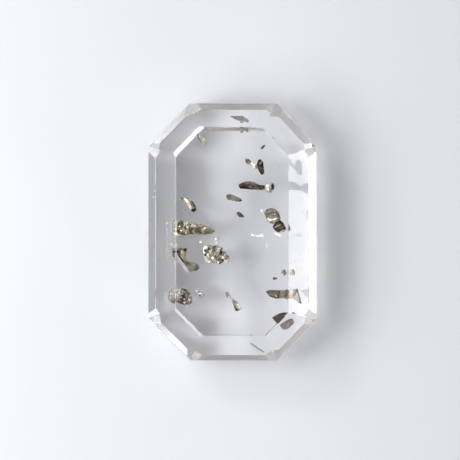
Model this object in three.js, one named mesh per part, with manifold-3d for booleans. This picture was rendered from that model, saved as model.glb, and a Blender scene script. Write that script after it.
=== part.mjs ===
// A step-cut quartz gem with pyrite crystals grown inside it. Units are millimetres, +Z is up.
//
// The origin is the middle of the flat base that the stone rests on. The stone is longest along Y,
// and its table faces +Z. The quartz is parted at the lower edge of its girdle, so that every pyrite
// crystal is a solid of its own, lying in a pocket on a plinth that rises from the other half.

import * as THREE from 'three';
import { ConvexGeometry } from 'three/addons/geometries/ConvexGeometry.js';
import { mergeVertices } from 'three/addons/utils/BufferGeometryUtils.js';
import Module from 'manifold-3d';

const wasm = await Module();
wasm.setup();

// ---------------------------------------------------------------- driving dimensions

const PAVILION_DEPTH = 1.93; // base up to the lower edge of the girdle
const GIRDLE_DEPTH = 1.59; // upright band round the widest part
const CROWN_HEIGHT = 2.14; // girdle up to the table
const POCKET_CLEARANCE = 0.2; // between a crystal and the quartz round it
const CRYSTAL_BEVEL = 0.05; // dulled edge of a crystal
const NEEDLE_BEVEL = 0.02;

const SEAM_HEIGHT = PAVILION_DEPTH;
const CROWN_BOTTOM = PAVILION_DEPTH + GIRDLE_DEPTH;
const TABLE_HEIGHT = CROWN_BOTTOM + CROWN_HEIGHT;

// The eight sides of the outline, anticlockwise. A side's bearing is the way that it faces, in degrees
// from +X. Its reach is how far it lies from the middle, and the insets are how much nearer the same
// side of the table and of the base is.
const SIDES = [
  { bearing: 0, reach: 6.0, tableInset: 2.05, baseInset: 1.93 },
  { bearing: 42.9, reach: 8.54, tableInset: 1.92, baseInset: 1.91 },
  { bearing: 90, reach: 9.17, tableInset: 1.73, baseInset: 1.96 },
  { bearing: 136.2, reach: 8.54, tableInset: 1.74, baseInset: 1.96 },
  { bearing: 180, reach: 6.0, tableInset: 1.93, baseInset: 1.93 },
  { bearing: 224.9, reach: 8.59, tableInset: 1.8, baseInset: 1.84 },
  { bearing: 270, reach: 9.17, tableInset: 1.79, baseInset: 1.79 },
  { bearing: 315.9, reach: 8.65, tableInset: 1.8, baseInset: 1.86 },
];

// The pyrite. Each crystal has its place in the stone, its turn about Z in degrees, and the height of
// its underside. Its masses are the outlines that it has grown to, anticlockwise round its own middle,
// with X along its length. Cubes are the small crystals that stand out all over a granular mass, and
// ribs are the growth ridges along or across a striated one.
const CRYSTALS = [
  {
    name: 'pyrite_plate_north',
    at: [0.52, 7.43], turn: -32, underside: 3.22,
    masses: [{
      depth: 0.26,
      outline: [
        [-0.18, -0.21], [0.14, -0.12], [0.19, -0.31], [0.36, -0.28], [0.42, 0.02], [0.64, -0.03],
        [0.7, 0.11], [0.48, 0.28], [0.24, 0.29], [0.02, 0.38], [-0.74, -0.1],
      ],
    }],
  },
  {
    name: 'pyrite_wedge_north_west',
    at: [-2.21, 6.69], turn: -65, underside: 4.6,
    masses: [{
      depth: 0.35,
      outline: [
        [0.55, -0.1], [0.5, 0.1], [0.24, 0.24], [-0.02, 0.21], [-0.29, -0.06], [-0.37, -0.2],
        [0.09, -0.22],
      ],
    }],
  },
  {
    name: 'pyrite_fleck_north',
    at: [2.18, 6.05], turn: 51, underside: 3.2,
    masses: [{
      depth: 0.2,
      outline: [[-0.19, -0.06], [0.17, -0.09], [0.19, 0.02], [0.01, 0.1], [-0.2, 0.07]],
    }],
  },
  {
    name: 'pyrite_fan_north_east',
    at: [1.72, 4.85], turn: -38, underside: 3.2,
    masses: [
      {
        depth: 0.34,
        outline: [
          [-0.63, -0.43], [-0.3, -0.38], [0.14, -0.36], [0.25, -0.22], [0.04, -0.07], [-0.34, -0.1],
          [-0.71, -0.09], [-0.84, -0.26],
        ],
        cubes: { columns: 4, rows: 1, edge: 0.22 },
      },
      {
        depth: 0.5,
        outline: [
          [0.05, -0.06], [0.35, -0.28], [0.71, -0.42], [0.85, -0.34], [0.79, -0.12], [0.58, 0.08],
          [0.28, 0.39], [0.02, 0.43], [-0.09, 0.28],
        ],
      },
    ],
  },
  {
    name: 'pyrite_bar_north_east',
    at: [1.68, 3.22], turn: -5, underside: 3.3,
    masses: [
      {
        depth: 0.45,
        outline: [
          [-1.13, -0.25], [-0.27, -0.23], [0.52, -0.19], [0.82, -0.02], [0.7, 0.13], [0.2, 0.14],
          [-0.17, 0.32], [-0.61, 0.34], [-1.02, 0.2], [-1.28, 0],
        ],
        ribs: { count: 3, turn: 0 },
      },
      {
        depth: 0.6,
        outline: [
          [0.66, -0.22], [1.02, -0.38], [1.25, -0.25], [1.3, 0.09], [1.15, 0.38], [0.9, 0.34],
          [0.62, 0.16],
        ],
        cubes: { columns: 2, rows: 2, edge: 0.24 },
      },
    ],
  },
  {
    name: 'pyrite_bar_centre_north',
    at: [0.12, 2.41], turn: -12, underside: 3.0,
    masses: [{
      depth: 0.35,
      outline: [
        [-0.46, -0.21], [-0.04, -0.21], [0.47, -0.19], [0.61, -0.06], [0.41, 0.08], [-0.05, 0.18],
        [-0.42, 0.22], [-0.61, 0.06],
      ],
    }],
  },
  {
    name: 'pyrite_fleck_centre',
    at: [0.55, 1.2], turn: -37, underside: 2.6,
    masses: [{
      depth: 0.22,
      outline: [[-0.08, -0.15], [0.09, -0.15], [0.33, 0.05], [0.13, 0.15], [-0.22, 0.15], [-0.33, -0.04]],
    }],
  },
  {
    name: 'pyrite_pair_east',
    at: [3.02, 0.79], turn: -65, underside: 4.55,
    masses: [
      {
        depth: 0.5,
        outline: [
          [-0.17, -0.5], [0.13, -0.28], [0.17, 0.33], [-0.01, 0.45], [-0.38, 0.49], [-0.71, 0.39],
          [-0.97, 0.07], [-0.99, -0.23], [-0.83, -0.47],
        ],
        ribs: { count: 5, turn: 78 },
      },
      {
        depth: 0.62,
        outline: [
          [0.67, -0.3], [0.94, -0.06], [0.97, 0.29], [0.92, 0.48], [0.37, 0.47], [0.11, 0.36],
          [0.09, -0.03], [0.33, -0.35],
        ],
      },
    ],
  },
  {
    name: 'pyrite_crescent_west',
    at: [-3.08, 2.05], turn: -48, underside: 4.8,
    masses: [{
      depth: 0.45,
      outline: [
        [-0.52, -0.24], [-0.28, -0.15], [0.16, -0.22], [0.55, -0.28], [0.72, -0.17], [0.72, 0.02],
        [0.5, 0.2], [0.1, 0.27], [-0.33, 0.17], [-0.56, -0.04], [-0.68, -0.23],
      ],
    }],
  },
  {
    name: 'pyrite_bar_west',
    at: [-2.6, 0.31], turn: 2, underside: 4.5,
    masses: [{
      depth: 0.5,
      outline: [
        [-1.39, -0.49], [-1.17, -0.54], [-0.7, -0.51], [-0.27, -0.46], [0.19, -0.49], [0.73, -0.52],
        [1.16, -0.49], [1.33, -0.34], [1.24, -0.17], [0.96, 0], [0.57, 0.13], [0.07, 0.26],
        [-0.42, 0.4], [-0.85, 0.48], [-1.09, 0.58], [-1.27, 0.53], [-1.39, 0.35],
      ],
      cubes: { columns: 9, rows: 2, edge: 0.26 },
    }],
  },
  {
    name: 'pyrite_wedge_west',
    at: [-3.28, -1.92], turn: -51, underside: 4.2,
    masses: [{
      depth: 0.4,
      outline: [
        [-0.81, -0.26], [-0.4, -0.33], [0.05, -0.35], [0.51, -0.34], [0.91, -0.38], [1.11, 0],
        [1.12, 0.28], [0.88, 0.41], [0.6, 0.29], [0.25, -0.02], [-0.01, -0.04], [-0.28, 0.19],
        [-0.54, 0.53], [-0.99, -0.04], [-0.99, -0.19],
      ],
    }],
  },
  {
    name: 'pyrite_cluster_centre',
    at: [-1.12, -1.56], turn: 5, underside: 4.3,
    masses: [{
      depth: 0.6,
      outline: [
        [-0.83, -0.1], [-0.64, -0.61], [0.1, -0.65], [0.56, -0.62], [0.83, -0.53], [0.84, -0.24],
        [0.62, -0.12], [0.54, 0.31], [0.21, 0.56], [-0.43, 0.66], [-0.83, 0.55],
      ],
      cubes: { columns: 5, rows: 4, edge: 0.3 },
    }],
  },
  {
    name: 'pyrite_cluster_south_west',
    at: [-3.62, -4.6], turn: -15, underside: 4.0,
    masses: [{
      depth: 0.66,
      outline: [
        [-0.42, -0.43], [-0.1, -0.51], [0.3, -0.53], [0.66, -0.47], [0.82, -0.24], [0.75, 0.11],
        [0.5, 0.42], [0.15, 0.59], [-0.1, 0.58], [-0.41, 0.48], [-0.6, 0.23], [-0.59, -0.18],
      ],
      cubes: { columns: 6, rows: 4, edge: 0.28 },
    }],
  },
  {
    name: 'pyrite_sliver_south',
    at: [0.02, -5.0], turn: -48, underside: 3.0,
    masses: [{
      depth: 0.35,
      outline: [
        [-0.65, -0.06], [-0.44, -0.08], [-0.13, 0.01], [0.21, -0.11], [0.61, -0.29], [0.77, -0.06],
        [0.76, 0.22], [0.17, 0.25], [-0.19, 0.15], [-0.51, 0.19], [-0.79, 0.23], [-0.87, 0.06],
      ],
    }],
  },
  {
    name: 'pyrite_bar_south_east',
    at: [3.5, -4.38], turn: -15, underside: 3.2,
    masses: [{
      depth: 0.5,
      outline: [
        [-0.81, -0.43], [-0.28, -0.48], [0.19, -0.29], [0.57, -0.35], [1.12, -0.47], [0.8, 0.03],
        [0.46, 0.47], [0.11, 0.26], [-0.23, 0.16], [-0.86, 0.03], [-1.13, -0.17],
      ],
    }],
  },
  {
    name: 'pyrite_fleck_east',
    at: [3.64, -2.89], turn: 5, underside: 3.3,
    masses: [{
      depth: 0.3,
      outline: [[-0.15, -0.21], [0.16, -0.21], [0.22, -0.04], [0.1, 0.21], [-0.09, 0.17], [-0.23, -0.09]],
    }],
  },
  {
    name: 'pyrite_fleck_east_small',
    at: [3.02, -3.31], turn: 15, underside: 3.1,
    masses: [{
      depth: 0.18,
      outline: [[-0.12, -0.1], [0.15, -0.1], [0.17, 0.01], [-0.03, 0.1], [-0.17, 0.03]],
    }],
  },
  {
    name: 'pyrite_plate_south_east',
    at: [3.46, -6.16], turn: 30, underside: 3.2,
    masses: [{
      depth: 0.26,
      outline: [[-0.45, -0.18], [-0.09, -0.37], [0.49, -0.25], [0.55, 0.04], [0.47, 0.24], [0.05, 0.37], [-0.54, 0.37]],
    }],
  },
  {
    name: 'pyrite_needle_south',
    at: [1.76, -7.77], turn: -45, underside: 3.25, bevel: NEEDLE_BEVEL,
    masses: [{
      depth: 0.12,
      outline: [[0, -0.08], [0.66, -0.03], [0.66, 0.07], [0.01, 0.07], [-0.59, 0.06], [-0.66, -0.03]],
    }],
  },
];

// ---------------------------------------------------------------- materials

const quartz = new THREE.MeshStandardMaterial({
  color: '#dfe4e8', roughness: 0.04, metalness: 0, transparent: true, opacity: 0.35,
});
const pyrite = new THREE.MeshStandardMaterial({ color: '#8c8159', roughness: 0.35, metalness: 1 });

// ---------------------------------------------------------------- solids and geometries

/** A closed three.js geometry as a manifold solid. */
function solidOf(geometry) {
  const bare = geometry.index ? geometry.toNonIndexed() : geometry.clone();
  bare.deleteAttribute('normal');
  bare.deleteAttribute('uv');
  const merged = mergeVertices(bare, 1e-5);
  return new wasm.Manifold(new wasm.Mesh({
    numProp: 3,
    vertProperties: new Float32Array(merged.attributes.position.array),
    triVerts: new Uint32Array(merged.index.array),
  }));
}

/** A manifold solid as a three.js geometry. */
function geometryOf(solid) {
  const mesh = solid.getMesh();
  const geometry = new THREE.BufferGeometry();
  geometry.setAttribute('position', new THREE.BufferAttribute(new Float32Array(mesh.vertProperties), 3));
  geometry.setIndex(new THREE.BufferAttribute(new Uint32Array(mesh.triVerts), 1));
  geometry.computeVertexNormals();
  return geometry;
}

/** An upright box between two heights, turned with the crystal that it is made for. */
function uprightBox({ length, width, low, high, at, turn }) {
  const box = new THREE.BoxGeometry(length, width, high - low);
  box.rotateZ(THREE.MathUtils.degToRad(turn));
  box.translate(at[0], at[1], (low + high) / 2);
  return solidOf(box);
}

// ---------------------------------------------------------------- the cut stone

/** Where two neighbouring sides of the outline meet, once each is moved in by its inset. */
function cornerOf(side, next, insetOf) {
  const a = THREE.MathUtils.degToRad(side.bearing);
  const b = THREE.MathUtils.degToRad(next.bearing);
  const reachA = side.reach - insetOf(side);
  const reachB = next.reach - insetOf(next);
  const spread = Math.sin(b - a);
  return [
    (reachA * Math.sin(b) - reachB * Math.sin(a)) / spread,
    (reachB * Math.cos(a) - reachA * Math.cos(b)) / spread,
  ];
}

/** The eight corners of the stone's section at one height. */
function ring(height, insetOf) {
  return SIDES.map((side, i) => {
    const [x, y] = cornerOf(side, SIDES[(i + 1) % SIDES.length], insetOf);
    return new THREE.Vector3(x, y, height);
  });
}

const baseRing = ring(0, (side) => side.baseInset);
const girdleLowRing = ring(PAVILION_DEPTH, () => 0);
const girdleHighRing = ring(CROWN_BOTTOM, () => 0);
const tableRing = ring(TABLE_HEIGHT, (side) => side.tableInset);

/** The flat-faced solid that a stack of rings bounds. */
function facetedSolid(...rings) {
  return solidOf(new ConvexGeometry(rings.flat()));
}

// ---------------------------------------------------------------- the pyrite

/** How far an outline reaches each way from its crystal's middle. */
function boundsOf(outline) {
  return new THREE.Box2().setFromPoints(outline.map(([x, y]) => new THREE.Vector2(x, y)));
}

/** One mass: its outline drawn upwards to its depth, with dulled edges. */
function massSolid({ outline, depth }, bevel) {
  const shape = new THREE.Shape(outline.map(([x, y]) => new THREE.Vector2(x, y)));
  const mass = new THREE.ExtrudeGeometry(shape, {
    depth: depth - 2 * bevel,
    steps: 1,
    bevelEnabled: true,
    bevelThickness: bevel,
    bevelSize: bevel,
    bevelOffset: -bevel,
    bevelSegments: 1,
  });
  mass.translate(0, 0, bevel);
  return solidOf(mass);
}

/** The small cubes that cover a granular mass, each turned a golden angle on from the last. */
function cubeSolids({ outline, depth }, { columns, rows, edge }) {
  const GOLDEN_ANGLE = 2.4;
  const bounds = boundsOf(outline);
  const size = bounds.getSize(new THREE.Vector2());
  const shape = new THREE.Shape(outline.map(([x, y]) => new THREE.Vector2(x, y)));
  const room = shape.getPoints();
  const cubes = [];
  for (let i = 0; i < columns * rows; i += 1) {
    const x = bounds.min.x + size.x * (((i % columns) + 0.5) / columns);
    const y = bounds.min.y + size.y * ((Math.floor(i / columns) + 0.5) / rows);
    if (insidePolygon(room, x, y)) {
      const cube = new THREE.BoxGeometry(edge, edge, edge);
      cube.rotateX(i * GOLDEN_ANGLE);
      cube.rotateZ(i * GOLDEN_ANGLE * 2);
      cube.translate(x, y, depth - edge / 4);
      cubes.push(solidOf(cube));
    }
  }
  return cubes;
}

/** Whether a point lies inside a closed polygon, by counting the edges to its right. */
function insidePolygon(points, x, y) {
  let inside = false;
  points.forEach((a, i) => {
    const b = points[(i + 1) % points.length];
    if ((a.y > y) !== (b.y > y) && x < a.x + ((b.x - a.x) * (y - a.y)) / (b.y - a.y)) inside = !inside;
  });
  return inside;
}

/** The growth ridges on top of a striated mass, clipped to its outline. */
function ribSolids({ outline, depth }, { count, turn }) {
  const RIB_HEIGHT = 0.08;
  const size = boundsOf(outline).getSize(new THREE.Vector2());
  const middle = boundsOf(outline).getCenter(new THREE.Vector2());
  const pitch = Math.min(size.x, size.y) / (count + 1);
  const room = massSolid({ outline, depth: depth + RIB_HEIGHT }, CRYSTAL_BEVEL);
  return Array.from({ length: count }, (_, i) => {
    const rib = new THREE.BoxGeometry(2 * size.x + 2 * size.y, pitch * 0.55, 2 * RIB_HEIGHT);
    rib.translate(0, (i - (count - 1) / 2) * pitch, 0);
    rib.rotateZ(THREE.MathUtils.degToRad(turn));
    rib.translate(middle.x, middle.y, depth);
    return solidOf(rib).intersect(room);
  });
}

/** A whole crystal: its masses with their cubes and ribs, grown together into one solid. */
function crystalSolid({ masses, bevel = CRYSTAL_BEVEL }) {
  const grown = masses.flatMap((mass) => [
    massSolid(mass, bevel),
    ...(mass.cubes ? cubeSolids(mass, mass.cubes) : []),
    ...(mass.ribs ? ribSolids(mass, mass.ribs) : []),
  ]);
  return grown.reduce((whole, piece) => whole.add(piece));
}

/** A crystal's mesh, placed in the stone. */
function crystalMesh(crystal) {
  const mesh = new THREE.Mesh(geometryOf(crystalSolid(crystal)), pyrite);
  mesh.name = crystal.name;
  mesh.position.set(crystal.at[0], crystal.at[1], crystal.underside);
  mesh.rotation.z = THREE.MathUtils.degToRad(crystal.turn);
  return mesh;
}

// ---------------------------------------------------------------- pockets and plinths

/** The room that a crystal takes, measured on the crystal itself. */
function roomFor(mesh) {
  mesh.geometry.computeBoundingBox();
  const { min, max } = mesh.geometry.boundingBox;
  const middle = new THREE.Vector3((min.x + max.x) / 2, (min.y + max.y) / 2, 0);
  middle.applyEuler(mesh.rotation).add(mesh.position);
  return {
    length: max.x - min.x,
    width: max.y - min.y,
    low: mesh.position.z + min.z,
    high: mesh.position.z + max.z,
    at: [middle.x, middle.y],
    turn: THREE.MathUtils.radToDeg(mesh.rotation.z),
  };
}

/** A room made larger all round by the pocket clearance. */
function withClearance(room) {
  return {
    ...room,
    length: room.length + 2 * POCKET_CLEARANCE,
    width: room.width + 2 * POCKET_CLEARANCE,
    low: room.low - POCKET_CLEARANCE,
    high: room.high + POCKET_CLEARANCE,
  };
}

/** The two halves of the stone, with every crystal's pocket cut and its plinth joined. */
function quartzHalves(crystals) {
  let upper = facetedSolid(girdleLowRing, girdleHighRing, tableRing);
  let lower = facetedSolid(baseRing, girdleLowRing);
  for (const crystal of crystals) {
    const room = roomFor(crystal);
    const pocket = withClearance(room);
    if (pocket.high > SEAM_HEIGHT) {
      upper = upper.subtract(uprightBox({ ...pocket, low: Math.min(pocket.low, SEAM_HEIGHT - POCKET_CLEARANCE) }));
    }
    if (pocket.low < SEAM_HEIGHT) {
      lower = lower.subtract(uprightBox({ ...pocket, high: Math.max(pocket.high, SEAM_HEIGHT + POCKET_CLEARANCE) }));
    }
    if (pocket.low > SEAM_HEIGHT) {
      lower = lower.add(uprightBox({ ...room, low: SEAM_HEIGHT - POCKET_CLEARANCE, high: pocket.low }));
    }
    if (pocket.high < SEAM_HEIGHT) {
      upper = upper.add(uprightBox({ ...room, low: pocket.high, high: SEAM_HEIGHT + POCKET_CLEARANCE }));
    }
  }
  return [upper, lower];
}

/** One half of the stone as a named mesh. */
function quartzMesh(name, solid) {
  const mesh = new THREE.Mesh(geometryOf(solid), quartz);
  mesh.name = name;
  return mesh;
}

// ---------------------------------------------------------------- the whole stone

const crystals = CRYSTALS.map(crystalMesh);
const [upperHalf, lowerHalf] = quartzHalves(crystals);

const group = new THREE.Group();
group.add(quartzMesh('quartz_crown', upperHalf));
group.add(quartzMesh('quartz_pavilion', lowerHalf));
group.add(...crystals);

export default group;
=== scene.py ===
"""A step-cut rock crystal with pyrite grown inside it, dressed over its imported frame.

Every size is in millimetres until a mesh is finished, when it is scaled to metres. +Z is up, the origin
is the middle of the flat base that the stone rests on, and the stone is longest along Y.
"""

import logging
import math
import random
from dataclasses import dataclass
from enum import Enum

import bmesh
import bpy
from mathutils import Euler, Matrix, Vector, noise
from mathutils.bvhtree import BVHTree


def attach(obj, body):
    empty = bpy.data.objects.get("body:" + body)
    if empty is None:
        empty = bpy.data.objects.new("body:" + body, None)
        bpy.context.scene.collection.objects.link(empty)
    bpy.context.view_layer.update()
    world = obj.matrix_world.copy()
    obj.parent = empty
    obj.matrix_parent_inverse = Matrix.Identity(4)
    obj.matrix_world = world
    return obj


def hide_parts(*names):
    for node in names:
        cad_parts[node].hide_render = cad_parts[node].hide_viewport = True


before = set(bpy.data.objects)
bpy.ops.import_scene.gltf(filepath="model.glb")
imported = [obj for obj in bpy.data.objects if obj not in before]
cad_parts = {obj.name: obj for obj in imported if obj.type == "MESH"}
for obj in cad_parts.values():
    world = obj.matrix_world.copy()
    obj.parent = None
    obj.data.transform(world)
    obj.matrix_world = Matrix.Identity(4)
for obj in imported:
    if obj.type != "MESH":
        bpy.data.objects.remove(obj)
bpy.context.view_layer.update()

MM = 0.001  # metres in a millimetre
BODY = "root"
UP = Vector((0, 0, 1))
TOUCHING = 1e-5  # mm from a cut within which a point counts as on it
NOISE_SEED = 12  # without one, mathutils seeds its noise from the clock

log = logging.getLogger("rock_crystal")


# ---------------------------------------------------------------- small tools


def linear(colour: str) -> tuple[float, float, float, float]:
    """Turns an sRGB hex colour into the linear colour that a shader takes.

    Args:
        colour: The colour as "#rrggbb".

    Returns:
        Its linear red, green, blue and an alpha of 1.
    """
    shares = [int(colour[i : i + 2], 16) / 255 for i in (1, 3, 5)]
    # the standard sRGB curve: straight near black, a power above it
    red, green, blue = (s / 12.92 if s <= 0.04045 else ((s + 0.055) / 1.055) ** 2.4 for s in shares)
    return red, green, blue, 1.0


def per_metre(size: float) -> float:
    """Gives the texture scale, in a pattern on Object coordinates, whose features are size mm across."""
    return 1 / (size * MM)


def add_node(
    tree: bpy.types.NodeTree,
    kind: str,
    settings: dict[str, object] | None = None,
    inputs: dict[str | int, object] | None = None,
) -> bpy.types.Node:
    """Adds a node to a tree, with its settings, its constant inputs and its links.

    Args:
        tree: The node tree to add to.
        kind: The node's type name.
        settings: Attributes of the node itself.
        inputs: Each input by name or place, with either a constant or the output socket to link from.

    Returns:
        The new node.
    """
    node = tree.nodes.new(kind)
    for name, value in (settings or {}).items():
        setattr(node, name, value)
    for name, value in (inputs or {}).items():
        if isinstance(value, bpy.types.NodeSocket):
            tree.links.new(value, node.inputs[name])
        else:
            node.inputs[name].default_value = value
    return node


def new_material(name: str) -> tuple[bpy.types.Material, bpy.types.NodeTree, bpy.types.Node]:
    """Makes a node material.

    Args:
        name: The material's name.

    Returns:
        The material, its node tree and its Principled shader.
    """
    material = bpy.data.materials.new(name)
    material.use_nodes = True
    tree = material.node_tree
    return material, tree, tree.nodes["Principled BSDF"]


def direction_of(azimuth: float, elevation: float) -> Vector:
    """Gives the unit vector towards a bearing from +X and a height above the level, both in degrees."""
    a, e = math.radians(azimuth), math.radians(elevation)
    return Vector((math.cos(e) * math.cos(a), math.cos(e) * math.sin(a), math.sin(e)))


def tipped(bearing: float, lean: float) -> Matrix:
    """Gives the turn that tips a level face that many degrees towards a bearing from +X."""
    return Matrix.Rotation(math.radians(lean), 4, UP.cross(direction_of(bearing, 0)))


def finish_mesh(
    bm: bmesh.types.BMesh, name: str, materials: list[bpy.types.Material]
) -> bpy.types.Object:
    """Turns a mesh in millimetres into an object in metres at the origin.

    Args:
        bm: The mesh, which is freed.
        name: The object's name.
        materials: Its materials, in the order of the faces' indices.

    Returns:
        The object, linked to the scene.
    """
    bmesh.ops.scale(bm, vec=(MM, MM, MM), verts=bm.verts)
    mesh = bpy.data.meshes.new(name)
    bm.to_mesh(mesh)
    bm.free()
    for material in materials:
        mesh.materials.append(material)
    piece = bpy.data.objects.new(name, mesh)
    bpy.context.scene.collection.objects.link(piece)
    return piece


def dull_edges(
    bm: bmesh.types.BMesh,
    edges: list[bmesh.types.BMEdge],
    width: float,
    segments: int = 1,
    clamp: bool = False,
) -> None:
    """Bevels edges, as wear dulls them.

    Args:
        bm: The mesh that they are in.
        edges: The edges to dull.
        width: How far the bevel reaches on each face, in mm.
        segments: How many strips it has.
        clamp: Whether it stops where it would run into the next one.
    """
    bmesh.ops.bevel(
        bm,
        geom=edges,
        offset=width,
        segments=segments,
        profile=0.5,
        affect="EDGES",
        material=-1,
        clamp_overlap=clamp,
    )


def cut_grid(bm: bmesh.types.BMesh, pitch: float) -> None:
    """Cuts a mesh along a square grid seen from above, so that it can take relief.

    Args:
        bm: The mesh to cut.
        pitch: The largest distance between two cuts, in mm.
    """
    for axis in (Vector((1, 0, 0)), Vector((0, 1, 0))):
        reaches = [vert.co.dot(axis) for vert in bm.verts]
        low, high = min(reaches), max(reaches)
        strips = math.ceil((high - low) / pitch)
        for i in range(1, strips):
            bmesh.ops.bisect_plane(
                bm,
                geom=bm.verts[:] + bm.edges[:] + bm.faces[:],
                dist=TOUCHING,
                plane_co=axis * (low + (high - low) * i / strips),
                plane_no=axis,
            )


# ---------------------------------------------------------------- the quartz


@dataclass(frozen=True)
class PolishedQuartz:
    """Rock crystal, cut and polished: water-clear, with a glassy lustre and hardly any colour.

    A facet that is only ground has a haze, which blurs what is seen through it.
    """

    name: str = "rock crystal, polished"
    index: float = 1.548  # mean of quartz's two indices
    tint: str = "#fbfcfd"
    haze: float = 0.0  # roughness of the surface
    absorbed: str = "#f7f1ef"  # what a long way through it leaves of white
    density: float = 25.0  # absorption per metre

    def build(self) -> bpy.types.Material:
        """Makes the material: plain transmission, an index and an absorption.

        Returns:
            The material.
        """
        material, tree, shader = new_material(self.name)
        shader.inputs["Base Color"].default_value = linear(self.tint)
        shader.inputs["Roughness"].default_value = self.haze
        shader.inputs["IOR"].default_value = self.index
        shader.inputs["Transmission Weight"].default_value = 1.0
        absorption = add_node(
            tree,
            "ShaderNodeVolumeAbsorption",
            inputs={"Color": linear(self.absorbed), "Density": self.density},
        )
        tree.links.new(absorption.outputs["Volume"], tree.nodes["Material Output"].inputs["Volume"])
        return material


class FacetFinish(Enum):
    """How a facet is left, which is its material's place on the stone."""

    POLISHED = 0
    GROUND = 1
    FROSTED = 2


@dataclass(frozen=True)
class Side:
    """One of the eight sides of the stone's outline.

    Its bearing is the way that it faces, in degrees from +X. Its reach is how far it lies from the
    middle, and the insets are how much nearer the same side of the table and of the base is. The break
    is how much of the table the narrow facet along its edge takes, and the pavilion is how the lower
    facet is left.
    """

    bearing: float
    reach: float
    table_inset: float
    base_inset: float
    table_break: float = 0.0  # 0 where there is no such facet
    pavilion: FacetFinish = FacetFinish.POLISHED


@dataclass
class RockCrystal:
    """The cut stone: a table, a crown and a pavilion of eight facets each, a girdle and a flat base."""

    pavilion_depth: float = 1.93
    girdle_depth: float = 1.59
    crown_height: float = 2.14
    break_slope: float = 24.0  # degrees from level
    edge_wear: float = 0.03  # how far the dulled line between two facets reaches on each
    ground: float = 0.3  # roughness of a facet only finely ground, as the girdle is
    frost: float = 0.7  # roughness of a facet left coarsely ground
    rough_width: float = 3.0  # width of the block that it is cut from, in longest reaches
    sides: tuple[Side, ...] = (
        Side(0, 6.0, 2.05, 1.93),
        Side(42.9, 8.54, 1.92, 1.91, pavilion=FacetFinish.GROUND),
        Side(90, 9.17, 1.73, 1.96, pavilion=FacetFinish.GROUND),
        Side(136.2, 8.54, 1.74, 1.96, 0.23, FacetFinish.FROSTED),
        Side(180, 6.0, 1.93, 1.93),
        Side(224.9, 8.59, 1.8, 1.84, 0.13, FacetFinish.GROUND),
        Side(270, 9.17, 1.79, 1.79, pavilion=FacetFinish.GROUND),
        Side(315.9, 8.65, 1.8, 1.86, pavilion=FacetFinish.GROUND),
    )

    def cut(self, bm: bmesh.types.BMesh, point: Vector, normal: Vector, finish: FacetFinish) -> None:
        """Grinds one facet on the rough.

        Args:
            bm: The stone so far, which is convex.
            point: A point on the facet.
            normal: The way that the facet faces.
            finish: How the facet is left.
        """
        cut = bmesh.ops.bisect_plane(
            bm,
            geom=bm.verts[:] + bm.edges[:] + bm.faces[:],
            dist=TOUCHING,
            plane_co=point,
            plane_no=normal,
            clear_outer=True,
        )
        rim = [piece for piece in cut["geom_cut"] if isinstance(piece, bmesh.types.BMEdge)]
        for facet in bmesh.ops.contextual_create(bm, geom=rim)["faces"]:
            facet.material_index = finish.value

    def build(self) -> bpy.types.Object:
        """Cuts the stone from a block, facet by facet.

        Returns:
            The clear piece, which stands for both halves of the parted solid.
        """
        crown_bottom = self.pavilion_depth + self.girdle_depth
        height = crown_bottom + self.crown_height
        block = self.rough_width * max(side.reach for side in self.sides)
        bm = bmesh.new()
        bmesh.ops.create_cube(bm, size=1)
        bmesh.ops.scale(bm, vec=(block, block, height), verts=bm.verts)
        bmesh.ops.translate(bm, vec=UP * height / 2, verts=bm.verts)
        for side in self.sides:
            out = direction_of(side.bearing, 0)
            at_crown = out * side.reach + UP * crown_bottom
            at_pavilion = out * side.reach + UP * self.pavilion_depth
            self.cut(bm, at_crown, out, FacetFinish.GROUND)
            crown_normal = out * self.crown_height + UP * side.table_inset
            self.cut(bm, at_crown, crown_normal, FacetFinish.POLISHED)
            pavilion_normal = out * self.pavilion_depth - UP * side.base_inset
            self.cut(bm, at_pavilion, pavilion_normal, side.pavilion)
            if side.table_break:
                at_table = out * (side.reach - side.table_inset - side.table_break) + UP * height
                break_normal = direction_of(side.bearing, 90 - self.break_slope)
                self.cut(bm, at_table, break_normal, FacetFinish.POLISHED)
        bmesh.ops.recalc_face_normals(bm, faces=bm.faces)
        dull_edges(bm, bm.edges[:], self.edge_wear)
        polished = PolishedQuartz()
        ground = PolishedQuartz("rock crystal, finely ground", haze=self.ground)
        frosted = PolishedQuartz("rock crystal, coarsely ground", haze=self.frost)
        stone = finish_mesh(bm, "rock_crystal", [polished.build(), ground.build(), frosted.build()])
        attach(stone, BODY)
        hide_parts("quartz_crown", "quartz_pavilion")
        return stone


# ---------------------------------------------------------------- the pyrite


class Tone(Enum):
    """The colour given to a face of the pyrite. The middle tones are how fresh or tarnished it is. DARK is
    partly tarnish and partly painted reflection: it puts into the colour the dark of the camera overhead
    that a level face mirrors. SILVER, near white and paler than fresh pyrite, is partly painted highlight
    on the faces that glint towards the window.
    """

    SILVER = 0
    GOLD = 1
    OLIVE = 2
    GREY = 3
    BROWN = 4
    DARK = 5


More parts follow.
